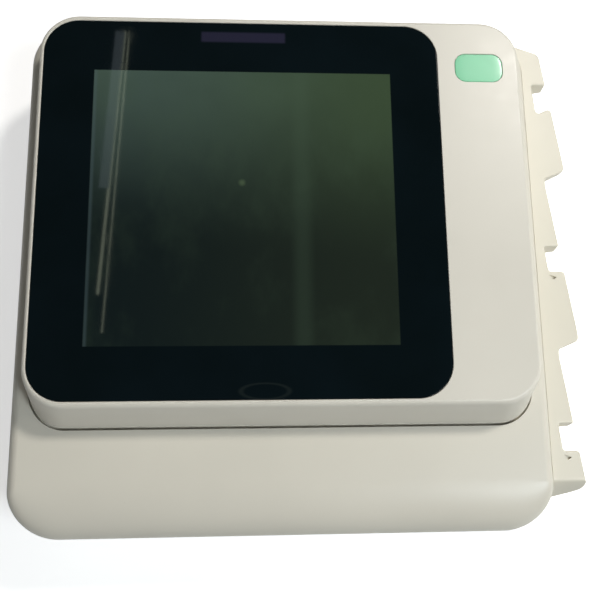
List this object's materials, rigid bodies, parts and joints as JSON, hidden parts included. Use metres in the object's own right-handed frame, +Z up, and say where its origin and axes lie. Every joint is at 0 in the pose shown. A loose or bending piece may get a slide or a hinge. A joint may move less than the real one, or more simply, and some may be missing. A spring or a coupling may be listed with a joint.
{
  "type": "cardiotocograph",
  "caption": "Flat tabletop fetal monitor with a tilting touch screen lid, a sloped front apron, a chart paper drawer and a side rack for transducers.",
  "frame": {"origin": "centre of the whole part's box, on the plane that the four feet stand on", "axes": "+Z up, -Y towards the user at the apron, +X towards the transducer rack"},
  "size_m": [0.367, 0.344, 0.09],
  "materials": {
    "ivory_plastic": "satin",
    "rack_plastic": "satin",
    "grey_plastic": "matte",
    "black_plastic": "matte",
    "green_plastic": "gloss",
    "dark_glass": "polished",
    "panel_dark": "gloss",
    "light_guide": "gloss",
    "rubber": "matte",
    "steel": "brushed",
    "aluminium": "satin",
    "supply_case": "satin",
    "brass": "satin",
    "board_green": "satin",
    "paper": "matte",
    "battery_blue": "satin",
    "white_gear": "satin"
  },
  "bodies": {
    "base": {"lower_case": "ivory_plastic", "upper_case": "ivory_plastic", "rubber_foot_1": "rubber", "rubber_foot_2": "rubber", "rubber_foot_3": "rubber", "rubber_foot_4": "rubber", "case_screw_1": "steel", "case_screw_2": "steel", "case_screw_3": "steel", "case_screw_4": "steel", "transducer_holder": "rack_plastic", "holder_screw_1": "steel", "holder_screw_2": "steel", "transducer_socket_1": "grey_plastic", "transducer_socket_2": "grey_plastic", "transducer_socket_3": "grey_plastic", "transducer_socket_4": "grey_plastic", "mains_inlet": "black_plastic", "network_port": "steel", "usb_port": "steel", "earth_post": "brass", "battery_pack": "battery_blue", "battery_cover": "ivory_plastic", "battery_cover_screw": "steel", "main_board": "board_green", "power_supply": "supply_case", "speaker": "black_plastic", "hinge_bracket_left": "steel", "hinge_bracket_right": "steel", "hinge_pin_left": "steel", "hinge_pin_right": "steel", "recorder_frame": "steel", "print_head": "aluminium", "feed_motor": "steel", "drawer_rail_left": "steel", "drawer_rail_right": "steel"},
    "screen": {"screen_housing": "ivory_plastic", "screen_back": "grey_plastic", "screen_screw_1": "steel", "screen_screw_2": "steel", "screen_screw_3": "steel", "screen_screw_4": "steel", "screen_bumper_1": "rubber", "screen_bumper_2": "rubber", "touch_glass": "dark_glass", "lcd_panel": "panel_dark", "display_board": "board_green", "alarm_light": "light_guide", "badge_plate": "green_plastic", "hinge_leaf_left": "steel", "hinge_leaf_right": "steel"},
    "drawer": {"drawer_front": "ivory_plastic", "paper_tray": "grey_plastic", "paper_pack": "paper"},
    "roller": {"roller_sleeve": "rubber", "roller_shaft": "steel", "roller_gear": "white_gear"},
    "pinion": {"motor_pinion": "brass"},
    "power_key": {"power_button": "grey_plastic"},
    "release_key": {"drawer_button": "grey_plastic"}
  },
  "joints": [
    {"name": "screen_tilt", "type": "hinge", "parent": "base", "child": "screen", "pos_m": [-0.0125, 0.1515, 0.078], "axis": [-1, 0, 0], "range_deg": [0, 90]},
    {"name": "drawer_slide", "type": "slide", "parent": "base", "child": "drawer", "axis": [0, -1, 0], "range_m": [0, 0.1]},
    {"name": "roller_spin", "type": "hinge", "parent": "drawer", "child": "roller", "pos_m": [-0.0125, -0.16, 0.0245], "axis": [1, 0, 0], "continuous": true},
    {"name": "pinion_spin", "type": "hinge", "parent": "base", "child": "pinion", "pos_m": [0.0708, -0.1502, 0.0245], "axis": [1, 0, 0], "continuous": true},
    {"name": "power_press", "type": "slide", "parent": "base", "child": "power_key", "axis": [0, 1, 0], "range_m": [0, 0.0015], "stiffness_N_per_m": 400, "springref_m": -0.0015},
    {"name": "release_press", "type": "slide", "parent": "base", "child": "release_key", "axis": [0, 1, 0], "range_m": [0, 0.0015], "stiffness_N_per_m": 400, "springref_m": -0.0015}
  ],
  "couplings": [
    {"joint": "pinion_spin", "follows": "roller_spin", "ratio": -1.4}
  ]
}
